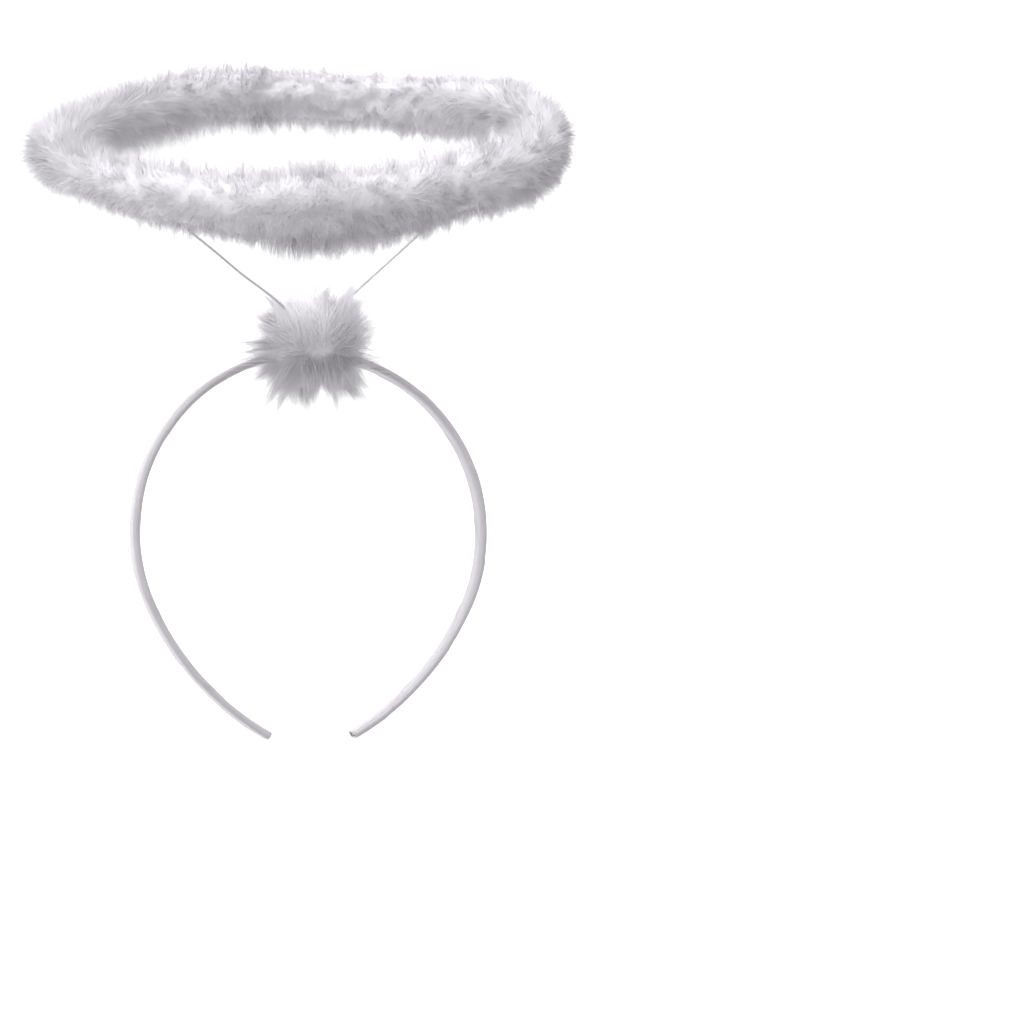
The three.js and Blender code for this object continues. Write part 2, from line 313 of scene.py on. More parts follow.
# %% Floor, lamps and sky
FLOOR_SIZE = 8.0
LAMPS = [
    {"name": "key lamp", "place": (-0.8, 1.4, 1.2), "size": 2.0, "power": 17},
    {"name": "front lamp", "place": (-0.3, 0.1, 2.2), "size": 2.0, "power": 16},
    {"name": "gloss lamp", "place": (-0.4, 0.5, 1.9), "size": 0.3, "power": 5},
]
SKY_BRIGHTEST = (-0.4, 0.9, 0.3)
SKY_DIM, SKY_BRIGHT = 0.05, 1.25


def make_floor():
    """A plain pale sheet under the headband."""
    shape = bmesh.new()
    bmesh.ops.create_grid(shape, x_segments=1, y_segments=1, size=FLOOR_SIZE / 2)
    mesh = bpy.data.meshes.new("floor")
    shape.to_mesh(mesh)
    shape.free()
    floor = bpy.data.objects.new("floor", mesh)
    bpy.context.scene.collection.objects.link(floor)
    floor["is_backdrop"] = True
    return floor


def light_table():
    finish = Finish("light table", Roughness=0.95, Specular_IOR_Level=0.1, Emission_Strength=0.8)
    finish.set(Emission_Color=(1, 1, 1, 1))
    cloud = finish.noise(3.0)
    return finish.set(Base_Color=finish.mix(cloud, (0.6, 0.6, 0.605, 1), (0.615, 0.615, 0.62, 1)))


def make_lamp(name, place, size, power):
    """A square lamp that faces the headband."""
    data = bpy.data.lights.new(name, "AREA")
    data.size = size
    data.energy = power
    lamp = bpy.data.objects.new(name, data)
    lamp.location = place
    lamp.rotation_euler = (-Vector(place)).to_track_quat("-Z", "Y").to_euler()
    bpy.context.scene.collection.objects.link(lamp)


def make_sky(brightest, dim, bright):
    """A sky that is brightest in one direction."""
    sky = bpy.data.worlds.new("studio sky")
    sky.use_nodes = True
    nodes = Nodes(sky.node_tree)
    direction = nodes.node("ShaderNodeTexCoord", {}, {}, "Generated")
    towards = {"Vector": direction, 1: Vector(brightest).normalized()}
    facing = nodes.node("ShaderNodeVectorMath", {"operation": "DOT_PRODUCT"}, towards, "Value")
    strength = dim + (bright - dim) * (facing * 0.5 + 0.5)
    background = sky.node_tree.nodes["Background"]
    background.inputs["Color"].default_value = (0.98, 0.985, 1.0, 1)
    nodes.plug(background.inputs["Strength"], strength)
    bpy.context.scene.world = sky


floor = make_floor()
floor.data.materials.append(light_table())
for row in LAMPS:
    make_lamp(**row)
make_sky(SKY_BRIGHTEST, SKY_DIM, SKY_BRIGHT)
bpy.context.scene.view_settings.view_transform = "Standard"
print("lamps:", [lamp.name for lamp in bpy.data.lights])

# %% [markdown]
# The ribbon is wound: it runs round the strip as a screw thread does, and each turn lies on the edge of
# the turn before. A texture could only paint those edges. Here the sleeve starts as a flat grid whose
# columns run across the band. The grid is rolled round the strip's section and sheared by one pitch for
# each time round, so its columns lie along the ribbon's edges and the small step there stays crisp.

# %% The section that the ribbon is wound round
BAND_WIDTH = 8.0 * MM
BAND_THICKNESS = 2.8 * MM
RIBBON_WALL = 0.5 * MM
SECTION_STEPS = 400
SECTION_SQUARENESS = 4.2


def rounded_section(share, width, thickness):
    """Points of a flat section with round edges: outward and backward offsets for shares of its girth."""
    turned = np.linspace(0, 2 * math.pi, SECTION_STEPS + 1)
    power = 2 / SECTION_SQUARENESS
    outward = thickness / 2 * np.sign(np.sin(turned)) * np.abs(np.sin(turned)) ** power
    backward = width / 2 * np.sign(np.cos(turned)) * np.abs(np.cos(turned)) ** power
    steps = np.hypot(np.diff(outward), np.diff(backward))
    girth = np.concatenate([[0], np.cumsum(steps)])
    share = np.asarray(share) % 1 * girth[-1]
    return np.interp(share, girth, outward), np.interp(share, girth, backward)


girth_check = rounded_section(np.array([0, 0.25, 0.5, 0.75]), BAND_WIDTH, BAND_THICKNESS)
print("section offsets in mm:", [np.round(part / MM, 2).tolist() for part in girth_check])

# %% Helpers for finished pieces
def finished(name, mesh, material, replaced=()):
    """A piece of the headband, laid down with the rest."""
    piece = bpy.data.objects.new(name, mesh)
    bpy.context.scene.collection.objects.link(piece)
    mesh.materials.append(material)
    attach(piece, "root")
    if replaced:
        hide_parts(*replaced)
    print(name, "has", sum(len(face.vertices) - 2 for face in mesh.polygons), "triangles")
    return piece


def mesh_of(shape, name):
    """Turns a bmesh of the upright frame into a mesh that lies down."""
    shape.transform(upright)
    bmesh.ops.recalc_face_normals(shape, faces=shape.faces)
    mesh = bpy.data.meshes.new(name)
    shape.to_mesh(mesh)
    shape.free()
    return mesh


# %% The satin ribbon
RIBBON_PITCH = 34 * MM
RIBBON_LAP = 0.3 * MM
TURN_COLUMNS = 26
GIRTH_STEPS = 36
PUCKER = 0.12 * MM
TIP_SPARE = 3 * MM
TIP_ROUND = 0.6 * MM
SWELL_POWERS = (2, 6)


def ribbon_height(across, ahead):
    """How far the ribbon stands off the strip: a ramp up to each turn's edge, and faint puckers.

    across is the place across the ribbon, from 0 to 1, and ahead how many times it has gone round."""
    lap = RIBBON_LAP * (0.1 + 0.9 * across**3)
    pucker = noise.noise(Vector((across * 2.2, ahead * 5.0, 0.5)))
    crease = noise.noise(Vector((across * 3.0, ahead * 24.0, 7.5))) * across**4
    return lap + PUCKER * (pucker + 0.8 * crease)


def wind_ribbon():
    """Rolls a flat grid round the band, along the ribbon's own turns."""
    shape = bmesh.new()
    shape.loops.layers.uv.new("Wrap")
    turns_before, turns_after = 2, 1
    start = -turns_before * RIBBON_PITCH
    columns = (turns_before + math.ceil(BAND_LENGTH / RIBBON_PITCH) + turns_after) * TURN_COLUMNS
    bmesh.ops.create_grid(shape, x_segments=columns, y_segments=GIRTH_STEPS, size=0.5, calc_uvs=True)
    grid = np.array([vertex.co[:] for vertex in shape.verts])
    column = np.round((grid[:, 0] + 0.5) * columns)
    share = grid[:, 1] + 0.5
    along = start + RIBBON_PITCH * (column / TURN_COLUMNS + share)
    middle, outward = band_line(along)
    out_off, back_off = rounded_section(share, BAND_WIDTH, BAND_THICKNESS)
    for i, vertex in enumerate(shape.verts):
        height = ribbon_height(column[i] % TURN_COLUMNS / TURN_COLUMNS, column[i] // TURN_COLUMNS + share[i])
        swell = np.array([out_off[i] / (BAND_THICKNESS / 2), back_off[i] / (BAND_WIDTH / 2)])
        swell = np.sign(swell) * np.abs(swell) ** SWELL_POWERS * height
        place = middle[i] + (out_off[i] + swell[0]) * outward[i]
        vertex.co = (place[0], back_off[i] + swell[1], place[2])
    spare = (along < -TIP_SPARE) | (along > BAND_LENGTH + TIP_SPARE)
    beyond = [vertex for vertex, far in zip(shape.verts[:], spare) if far]
    bmesh.ops.delete(shape, geom=beyond, context="VERTS")
    bmesh.ops.remove_doubles(shape, verts=shape.verts, dist=0.01 * MM)
    trim_at_tips(shape)
    return shape


def tip_frame(along, sign):
    """A tip of the band as vectors: its place, the direction past it and the outward direction."""
    here, outward = band_line(along)
    ahead, _ = band_line(along + sign * MM)
    return Vector(here.tolist()), Vector((ahead - here).tolist()).normalized(), Vector(outward.tolist())


TIPS = (tip_frame(TIP_ROUND, -1), tip_frame(BAND_LENGTH - TIP_ROUND, 1))


def trim_at_tips(shape):
    """Cuts the sleeve off square at both tips."""
    for here, past, _ in TIPS:
        near = [vertex for vertex in shape.verts if (vertex.co - here).length < 2 * BAND_WIDTH]
        around = {item for vertex in near for item in (*vertex.link_edges, *vertex.link_faces)}
        cut = [*near, *around]
        bmesh.ops.bisect_plane(shape, geom=cut, plane_co=here, plane_no=past, clear_outer=True)


ribbon_shape = wind_ribbon()
print("ribbon faces:", len(ribbon_shape.faces))

# %% A rim for the ribbon's open ends
FOLD = ((0.15, 0.35), (0.35, 0.2), (0.5, -0.1), (0.0, -4.0))


def close_rims(shape, wall):
    """Rounds each open end of the sleeve over its own wall and folds it a little way inside.

    Each row of FOLD narrows the rim by a share of the wall and moves it on by some millimetres."""
    open_edges = [edge for edge in shape.edges if edge.is_boundary]
    for here, past, out in TIPS:
        rim = [edge for edge in open_edges if (edge.verts[0].co - here).length < BAND_WIDTH]
        for shrink, push in FOLD:
            grown = bmesh.ops.extrude_edge_only(shape, edges=rim)["geom"]
            rim = [item for item in grown if isinstance(item, bmesh.types.BMEdge)]
            for vertex in {vertex for edge in rim for vertex in edge.verts}:
                away = vertex.co - here
                off = Vector((0, away.y, 0)) * (wall / (BAND_WIDTH / 2))
                off += out * away.dot(out) * (wall / (BAND_THICKNESS / 2))
                vertex.co += past * push * MM - shrink * off


close_rims(ribbon_shape, RIBBON_WALL)
print("ribbon faces with its rims:", len(ribbon_shape.faces))

# %% [markdown]
# Satin is woven so that long threads float over the surface, which gives a soft gloss with a grain. The
# grain follows the ribbon, so it reads the ribbon's own map: one direction runs along the winding and
# the other round it. The gloss itself is the shader's roughness, with a little sheen, and only its small
# variation is drawn by nodes.

# %% Satin
FLOAT_WIDTH = 0.45 * MM


def satin():
    finish = Finish("white satin", Sheen_Weight=0.1, Sheen_Roughness=0.4, Specular_IOR_Level=0.9)
    wrap = finish.node("ShaderNodeUVMap", {"uv_map": "Wrap"})
    threads = (wrap.part("X") * (2 * math.pi * BAND_LENGTH / FLOAT_WIDTH)).sine()
    slubs = finish.noise(500.0, 3.0)
    cast = finish.noise(60.0, 2.0)
    return finish.set(
        Base_Color=finish.mix(cast, grey(0.42, SATIN_CAST), grey(0.5, SATIN_CAST)),
        Roughness=0.24 + 0.12 * slubs,
        Normal=finish.bump(threads * 0.5 + slubs, 0.02 * MM, 0.8),
    )


for face in ribbon_shape.faces:
    face.smooth = True
ribbon_mesh = mesh_of(ribbon_shape, "satin_ribbon")
finished("satin_ribbon", ribbon_mesh, satin(), ["ribbon_wrap"])

# %% The strip inside
def strip_plastic():
    finish = Finish("strip plastic", Roughness=0.5)
    grain = finish.noise(900.0, 3.0)
    cast = finish.noise(40.0)
    return finish.set(
        Base_Color=finish.mix(cast, (0.66, 0.62, 0.55, 1), (0.74, 0.7, 0.63, 1)),
        Roughness=0.45 + 0.15 * grain,
        Normal=finish.bump(grain, 0.02 * MM, 0.5),
    )


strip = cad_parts["band_core"]
strip.data.materials.clear()
strip.data.materials.append(strip_plastic())
print("the strip shows at the ribbon's open ends")

# %% [markdown]
# The wire is covered: fine thread is wound round it from end to end. A plain bar with a bump would do
# from afar, but its outline would be dead straight. So the bar is swept with its rings slightly apart in
# height, one out and one in, as a wound thread lies, and its line wanders a little, as bent wire does.

# %% The covered wire
WIRE_RADIUS = 0.53 * MM
WIRE_FOOT = BAND_TOP + BAND_THICKNESS / 2 + 0.6 * MM
STEM_TOP = BAND_TOP + 8.5 * MM
LEG_BOW = 1.5 * MM
LEG_PLACES = (math.radians(180 + 39), math.radians(-1))
THREAD_STEP = 0.3 * MM
THREAD_DEPTH = 0.05 * MM
WANDER = 0.6 * MM


def frames_along(line, first_side):
    """Two directions across a line of points that turn as little as they can."""
    headings = np.gradient(line, axis=0)
    headings /= np.linalg.norm(headings, axis=1)[:, None]
    sides = np.empty_like(line)
    side = np.asarray(first_side, dtype=float)
    for i, heading in enumerate(headings):
        side = side - heading * (side @ heading)
        side /= np.linalg.norm(side)
        sides[i] = side
    return sides, np.cross(headings, sides)


def roll_bar(shape, line, radius, sides, first_side=(0.3, 0.9, 0.2)):
    """Rolls a flat grid into a round bar along a line of points, with a radius for each of them."""
    steps = len(line) - 1
    made = bmesh.ops.create_grid(shape, x_segments=steps, y_segments=sides, size=0.5)["verts"]
    across, over = frames_along(line, first_side)
    for vertex in made:
        i = round((vertex.co.x + 0.5) * steps)
        turned = 2 * math.pi * (vertex.co.y + 0.5)
        away = math.cos(turned) * across[i] + math.sin(turned) * over[i]
        vertex.co = (line[i] + radius[i] * away).tolist()
    bmesh.ops.remove_doubles(shape, verts=made, dist=0.001 * MM)


def close_ends(shape):
    rims = [edge for edge in shape.edges if edge.is_boundary]
    bmesh.ops.holes_fill(shape, edges=rims, sides=0)


print("the wire's foot is", round((WIRE_FOOT - BAND_TOP) / MM, 1), "mm over the band's middle line")

# %% Lines of the wire
def bowed_line(foot, head, bow, steps):
    """A gently bowed line between two points."""
    share = np.linspace(0, 1, steps + 1)[:, None]
    bend = (foot + head) / 2 - np.array([0, 0, bow])
    return (1 - share) ** 2 * foot + 2 * share * (1 - share) * bend + share**2 * head


def wandering(line, amount, seed):
    """The same line with the small bends that wire keeps, none at its ends."""
    draw = np.random.default_rng(seed)
    share = np.linspace(0, 1, len(line))
    waves = sum(
        draw.normal(size=3)[None, :] * np.sin(math.pi * n * share + draw.uniform(0, 6))[:, None] / n
        for n in range(2, 7)
    )
    return line + amount * np.sin(math.pi * share)[:, None] * waves


parting = np.array([0, 0, STEM_TOP])
leg_heads = [ring_line(place)[0] for place in LEG_PLACES]
leg_lengths = [np.linalg.norm(head - parting) for head in leg_heads]
print("wire legs in mm:", [round(length / MM) for length in leg_lengths])

# %% Cover the wire
WIRE_SIDES = 8
RING_STEPS = 144
STEM_SEED = 7


def covered_bar(shape, line, seed):
    radius = np.full(len(line), WIRE_RADIUS - THREAD_DEPTH)
    radius[1::2] += THREAD_DEPTH
    roll_bar(shape, wandering(line, WANDER, seed), radius, WIRE_SIDES)


def make_wire():
    """Stem, two legs and the ring, as one covered wire."""
    shape = bmesh.new()
    for seed, (head, length) in enumerate(zip(leg_heads, leg_lengths)):
        steps = round(length / THREAD_STEP)
        covered_bar(shape, bowed_line(parting, head, LEG_BOW, steps), seed)
    foot = np.array([0, 0, WIRE_FOOT])
    stem = bowed_line(foot, parting, 0, round((STEM_TOP - WIRE_FOOT) / THREAD_STEP))
    covered_bar(shape, stem, STEM_SEED)
    close_ends(shape)
    whole_turn = np.linspace(0, 2 * math.pi, RING_STEPS + 1)
    ring, _, _ = ring_line(whole_turn)
    roll_bar(shape, ring, np.full(len(ring), WIRE_RADIUS), WIRE_SIDES, ring_axis)
    for face in shape.faces:
        face.smooth = True
    return mesh_of(shape, "covered_wire")


def thread_cover():
    finish = Finish("white thread cover", Roughness=0.7, Sheen_Weight=0.2)
    fuzz = finish.noise(2500.0, 2.0)
    dirt = finish.noise(70.0, 2.0)
    return finish.set(
        Base_Color=finish.mix(dirt, grey(0.55, SATIN_CAST), grey(0.72, SATIN_CAST)),
        Roughness=0.62 + 0.2 * fuzz,
        Normal=finish.bump(fuzz, 0.03 * MM, 0.7),
    )


finished("covered_wire", make_wire(), thread_cover(), ["halo_wire"])

# %% [markdown]
# Down is the reason for this object. A marabou plume is a soft quill with hundreds of long limp barbs,
# and the plumes of a boa lie every way, so what is seen is a cloud of barbs whose tips cling together in
# tufts. Hair particles could draw it, but they leave no mesh behind. Here every barb is a real sliver: a
# flat strand of two steps that narrows to its tip. Arrays make them by the thousand. First come the
# strands, from three points each: root, bend and tip. Light passes through down, so it looks soft and
# evenly shaded. Each strand therefore takes its shading normals from the round form it grows on, with a
# little of its own, and not from the way its flat side happens to face.

# %% Strands from arrays
OWN_WAY = 0.2
NARROWING = 0.45
STEPS = 2


def unit(vectors):
    return vectors / np.maximum(np.linalg.norm(vectors, axis=-1, keepdims=True), 1e-9)


def strand_points(roots, bends, tips, facing, width, steps, twist):
    """Corners of flat tapered strands: two for each step and one at the tip."""
    t = np.linspace(0, 1, steps + 1)[:, None, None]
    line = (1 - t) ** 2 * roots + 2 * t * (1 - t) * bends + t**2 * tips
    heading = unit(np.gradient(line, axis=0))
    flat = unit(np.cross(heading, facing))
    edge = np.cross(heading, flat)
    side = flat * np.cos(twist)[None, :, None] + edge * np.sin(twist)[None, :, None]
    half = 0.5 * width[None, :, None] * (1 - NARROWING * t)
    corners = np.empty((len(roots), 2 * steps + 1, 3))
    for step in range(steps):
        corners[:, 2 * step] = line[step] - side[step] * half[step]
        corners[:, 2 * step + 1] = line[step] + side[step] * half[step]
    corners[:, -1] = line[steps]
    return corners


def soft_normals(corners, centres, draw):
    """Shading normals that point away from the middle of the form a strand grows on."""
    away = unit(corners - centres[:, None, :])
    return unit(away + OWN_WAY * draw.normal(size=(len(corners), 1, 3)))


def strand_faces(steps):
    """Corner numbers of one strand's faces, one after the other, and where each face starts."""
    corners, starts = [], []
    for step in range(steps - 1):
        starts.append(len(corners))
        corners += [2 * step, 2 * step + 1, 2 * step + 3, 2 * step + 2]
    starts.append(len(corners))
    corners += [2 * steps - 2, 2 * steps - 1, 2 * steps]
    return np.array(corners), np.array(starts)


print("a strand has corners for its faces:", strand_faces(STEPS)[0].tolist())

# %% One mesh for thousands of strands
MAP_SPREAD = 0.008
TUFT_TONE, OWN_TONE = 0.7, 0.3
LYING = (0.1 * MM, 0.9 * MM)


def down_mesh(name, batches):
    """Joins batches of strands, each (corners, normals, steps, tone), and maps tone and height."""
    places, facings, loops, starts, maps = [], [], [], [], []
    vertex_count = loop_count = 0
    for corners, normals, steps, tone in batches:
        count, per_strand = corners.shape[:2]
        pattern, first = strand_faces(steps)
        offsets = vertex_count + per_strand * np.arange(count)[:, None]
        loops.append((pattern[None, :] + offsets).ravel())
        starts.append((first[None, :] + loop_count + len(pattern) * np.arange(count)[:, None]).ravel())
        height = np.repeat(np.arange(steps + 1) / steps, 2)[:-1]
        sideways = np.where(np.arange(per_strand) % 2, MAP_SPREAD, -MAP_SPREAD)
        sideways[-1] = 0
        across = 0.02 + 0.96 * tone[:, None] + sideways[None, :]
        up = np.broadcast_to(0.01 + 0.98 * height, (count, per_strand))
        maps.append(np.stack([across[:, pattern], up[:, pattern]], axis=-1).reshape(-1, 2))
        places.append(corners.reshape(-1, 3))
        facings.append(normals.reshape(-1, 3))
        vertex_count += count * per_strand
        loop_count += count * len(pattern)
    places, loops = np.concatenate(places), np.concatenate(loops)
    starts, maps = np.concatenate(starts), np.clip(np.concatenate(maps), 0.001, 0.999)
    mesh = bpy.data.meshes.new(name)
    mesh.vertices.add(len(places))
    mesh.vertices.foreach_set("co", places.ravel().astype(np.float32))
    mesh.loops.add(len(loops))
    mesh.loops.foreach_set("vertex_index", loops.astype(np.int32))
    mesh.polygons.add(len(starts))
    mesh.polygons.foreach_set("loop_start", starts.astype(np.int32))
    mesh.update(calc_edges=True)
    layer = mesh.uv_layers.new(name="OFBake")
    layer.data.foreach_set("uv", maps.ravel().astype(np.float32))
    mesh.shade_smooth()
    mesh.normals_split_custom_set_from_vertices(np.concatenate(facings).astype(np.float32))
    return mesh


def toned(tuft_tones, draw):
    """Tones of barbs: mostly their tuft's, with a little of their own."""
    own = draw.uniform(0, 1, len(tuft_tones))
    return np.clip(tuft_tones * TUFT_TONE + OWN_TONE * own, 0, 1)


def above_floor(corners, draw):
    """Barbs that would go through the surface lie flat on it instead."""
    lie = draw.uniform(*LYING, corners.shape[:1])[:, None]
    corners[..., 2] = np.maximum(corners[..., 2], lie)
    return corners


print("down is joined into one mesh a piece")

# %% [markdown]
# The boa's down grows from its middle line. Each tuft has a place round the ring and a direction round
# the boa, and it pulls the tips of the barbs near it together. How far they reach follows a short table,
# because the trim is fuller in some places than in others. Three sorts of barb share the work: short
# ones that fill the body, tuft barbs that cling together, and a few long wisps that stand off.

# %% How full the boa is round the ring
BOA_BODY = 9.5 * MM
BOA_REACH = 14.5 * MM
LONGEST = 23 * MM

FULLER = [
    {"place": 0, "above": 0.0, "below": 0.0, "outer": 0.0, "wisps": 1.25},
    {"place": 22, "above": 0.1, "below": 0.1, "outer": 0.05, "wisps": 1.15},
    {"place": 52, "above": -0.4, "below": 0.5, "outer": 0.0, "wisps": 0.95},
    {"place": 80, "above": -0.2, "below": 0.2, "outer": 0.0, "wisps": 1.0},
    {"place": 102, "above": 0.15, "below": 0.0, "outer": 0.0, "wisps": 1.6},
    {"place": 130, "above": -0.4, "below": 0.0, "outer": -0.1, "wisps": 1.9},
    {"place": 150, "above": -0.35, "below": 0.1, "outer": -0.1, "wisps": 1.7},
    {"place": 168, "above": 0.2, "below": -0.1, "outer": -0.15, "wisps": 1.8},
    {"place": 184, "above": 0.05, "below": -0.55, "outer": -0.4, "wisps": 1.4},
    {"place": 205, "above": 0.0, "below": -0.3, "outer": -0.4, "wisps": 1.1},
    {"place": 238, "above": 0.1, "below": 0.05, "outer": 0.0, "wisps": 1.1},
    {"place": 257, "above": 0.15, "below": 0.45, "outer": 0.0, "wisps": 1.4},
    {"place": 274, "above": 0.0, "below": 0.2, "outer": 0.0, "wisps": 1.35},
    {"place": 289, "above": 0.35, "below": -0.1, "outer": 0.0, "wisps": 1.1},
    {"place": 312, "above": 0.2, "below": 0.1, "outer": -0.2, "wisps": 1.2},
    {"place": 338, "above": 0.0, "below": 0.0, "outer": -0.35, "wisps": 1.2},
]


def by_place(place, column):
    """A column of the table, for places between its rows too."""
    places, values = [row["place"] for row in FULLER], [row[column] for row in FULLER]
    return np.interp(np.degrees(place), places, values, period=360)


def fullness(place, rise):
    """How much farther than usual the down reaches, for places round the ring and round the boa."""
    upward, outer = np.sin(rise), by_place(place, "outer") * np.clip(np.cos(rise), 0, 1)
    above, below = by_place(place, "above"), by_place(place, "below")
    return 1 + outer + above * np.clip(upward, 0, 1) + below * np.clip(-upward, 0, 1)


front_low = fullness(np.array([math.radians(263)]), np.array([-math.pi / 2]))
print("fullness at the front, below:", round(float(front_low[0]), 2))

# %% Tufts and barbs of the boa
TUFTS = 3400
GOLDEN_ANGLE = 2.399963
DROOP = 0.25
GUST_SIZE = 15 * MM
GUST_LEAN, STRAY_LEAN = 0.35, 0.25
TUFT_LEAN = 0.45
LEAST_REACH, EXTRA_REACH = 0.84, 0.4
GUST_SEED = 5
noise.seed_set(GUST_SEED)


def gust(points):
    """A lean that changes slowly from place to place, as plumes lie over each other.

    Noise vectors follow a seed, which is the clock's unless it is set."""
    return np.array([noise.noise_vector(Vector((point / GUST_SIZE).tolist())) for point in points])


def boa_surface(place, rise):
    """Middle line, outward direction of the boa and its forward direction at places round ring and boa."""
    middle, out, forward = ring_line(place)
    outward = out * np.cos(rise)[:, None] + ring_axis * np.sin(rise)[:, None]
    return middle, outward, forward


def boa_tufts():
    """Places, leans and tips of the boa's tufts. Most tufts are short and a few are long."""
    draw = np.random.default_rng(3)
    place = (np.arange(TUFTS) + draw.uniform(-0.5, 0.5, TUFTS)) * 2 * math.pi / TUFTS
    rise = (np.arange(TUFTS) * GOLDEN_ANGLE + draw.uniform(-0.35, 0.35, TUFTS)) % (2 * math.pi)
    middle, outward, forward = boa_surface(place, rise)
    strays = draw.normal(size=(TUFTS, 3))
    lean = GUST_LEAN * gust(middle + BOA_BODY * outward) + STRAY_LEAN * strays
    lean[:, 2] -= DROOP
    longer = LEAST_REACH + EXTRA_REACH * draw.uniform(0, 1, TUFTS) ** 2
    reach = BOA_REACH * fullness(place, rise) * longer
    tips = middle + unit(outward + TUFT_LEAN * lean) * reach[:, None]
    return place, rise, middle, lean, tips, draw.uniform(0, 1, TUFTS)


tuft_place, tuft_rise, tuft_middle, tuft_lean, tuft_tips, tuft_tone = boa_tufts()
print("tufts:", TUFTS)

# %% Barbs of the boa
ROOTS = (0.5, 0.85)
WIDTHS = (0.7, 1.25)
TWIST = 0.3
HOLD_SPREAD = 0.05
BARB_LEAN = 0.8
WISP_CHOICE = 4


def boa_barbs(sort, number, sector):
    """A batch of barbs of one sort in one sector of the ring, from its number and limits."""
    count = sort["count"]
    draw = np.random.default_rng(sort["seed"] + number)
    turned = tuft_place % (2 * math.pi)
    near = np.flatnonzero((turned >= sector[0]) & (turned < sector[1]))
    chance = by_place(tuft_place[near], "wisps") ** (WISP_CHOICE if sort["wisps"] else 0)
    tuft = draw.choice(near, count, p=chance / chance.sum())
    place = tuft_place[tuft] + draw.normal(size=count) * sort["spread"] / HALO_RADIUS
    rise = tuft_rise[tuft] + draw.normal(size=count) * sort["spread"] / BOA_BODY
    middle, outward, forward = boa_surface(place, rise)
    share = draw.uniform(*sort["span"], count)
    lean = tuft_lean[tuft] + sort["frizz"] * draw.normal(size=(count, 3))
    full = fullness(place, rise)
    far = by_place(place, "wisps") * (0.5 + 0.5 * full) if sort["wisps"] else full
    reach = np.minimum(BOA_REACH * far * share, LONGEST)
    free = middle + unit(outward + BARB_LEAN * lean) * reach[:, None]
    clung = tuft_middle[tuft] + (tuft_tips[tuft] - tuft_middle[tuft]) * share[:, None]
    hold = np.clip(draw.normal(sort["cling"], HOLD_SPREAD, count), 0, 1)[:, None]
    tips = free * (1 - hold) + clung * hold
    roots = middle + outward * (draw.uniform(*ROOTS, count) * full * BOA_BODY)[:, None]
    roots += forward * draw.normal(size=count)[:, None] * MM
    length = np.linalg.norm(tips - roots, axis=1)[:, None]
    own = 0.4 * sort["frizz"] * draw.normal(size=(count, 3))
    bends = roots + 0.5 * length * unit(outward + 0.5 * lean + own)
    widths = sort["width"] * draw.uniform(*WIDTHS, count)
    twist = draw.normal(0, TWIST, count)
    corners = strand_points(roots, bends, tips, outward, widths, STEPS, twist)
    normals = soft_normals(corners, middle, draw) @ turn.T
    tone = toned(tuft_tone[tuft], draw)
    return above_floor(laid_down(corners), draw), normals, STEPS, tone


SHORT = {
    "count": 18000, "seed": 10, "wisps": False,
    "span": (0.58, 0.88), "width": 0.15 * MM, "cling": 0.1, "spread": 4 * MM, "frizz": 0.35,
}
TUFTED = {
    "count": 28000, "seed": 20, "wisps": False,
    "span": (0.8, 1), "width": 0.1 * MM, "cling": 0.95, "spread": 1.7 * MM, "frizz": 0.25,
}
WISPS = {
    "count": 19000, "seed": 30, "wisps": True,
    "span": (0.75, 1.2), "width": 0.085 * MM, "cling": 0.45, "spread": 2.5 * MM, "frizz": 0.4,
}
SECTORS = 4


def down():
    finish = Finish("marabou down", Roughness=0.9, Specular_IOR_Level=0.15, Sheen_Weight=0.1)
    barb = finish.node("ShaderNodeUVMap", {"uv_map": "OFBake"})
    tone = barb.part("X")
    tip = finish.mix(tone, grey(0.94), grey(0.98))
    root = finish.mix(tone, grey(0.93), grey(0.97))
    return finish.set(Base_Color=finish.mix(barb.part("Y"), root, tip))


marabou = down()
for sector in range(SECTORS):
    limits = (sector * 2 * math.pi / SECTORS, (sector + 1) * 2 * math.pi / SECTORS)
    batches = [boa_barbs(sort, sector, limits) for sort in (SHORT, TUFTED, WISPS)]
    name = f"boa_down_{sector + 1}"
    finished(name, down_mesh(name, batches), marabou, ["halo_boa"])

# %% [markdown]
# Under all that down lies the boa's heart, where the barbs are too dense to tell apart. A closed form
# there keeps light from shining straight through, and it lends the boa its even tone. It is a torus whose
# skin follows the same fullness as the barbs and is pushed in and out a little by noise.

# %% The boa's heart
HEART_SHARE = 0.88
HEART_UNEVEN = 0.03
DENT_SIZE = 9 * MM


def make_heart():
    """A flat grid, rolled round the boa's line both ways."""
    shape = bmesh.new()
    around, over = 200, 24
    bmesh.ops.create_grid(shape, x_segments=around, y_segments=over, size=0.5)
    grid = np.array([vertex.co[:] for vertex in shape.verts]) + 0.5
    place, rise = 2 * math.pi * (grid[:, 0] % 1), 2 * math.pi * (grid[:, 1] % 1)
    middle, outward, _ = boa_surface(place, rise)
    skin = middle + BOA_BODY * outward
    uneven = np.array([noise.noise(Vector((point / DENT_SIZE).tolist())) for point in skin])
    reach = HEART_SHARE * BOA_BODY * fullness(place, rise) * (1 + HEART_UNEVEN * uneven)
    skin = middle + outward * reach[:, None]
    for vertex, point in zip(shape.verts, skin):
        vertex.co = point.tolist()
    bmesh.ops.remove_doubles(shape, verts=shape.verts, dist=0.001 * MM)
    for face in shape.faces:
        face.smooth = True
    return mesh_of(shape, "boa_heart")


def dense_down():
    finish = Finish("dense down", Roughness=1.0, Specular_IOR_Level=0.1)
    fibres = finish.noise(900.0, 6.0, 0.7)
    return finish.set(
        Base_Color=finish.mix(fibres, grey(0.93), grey(0.97)),
        Normal=finish.bump(fibres, 0.35 * MM, 0.8),
    )


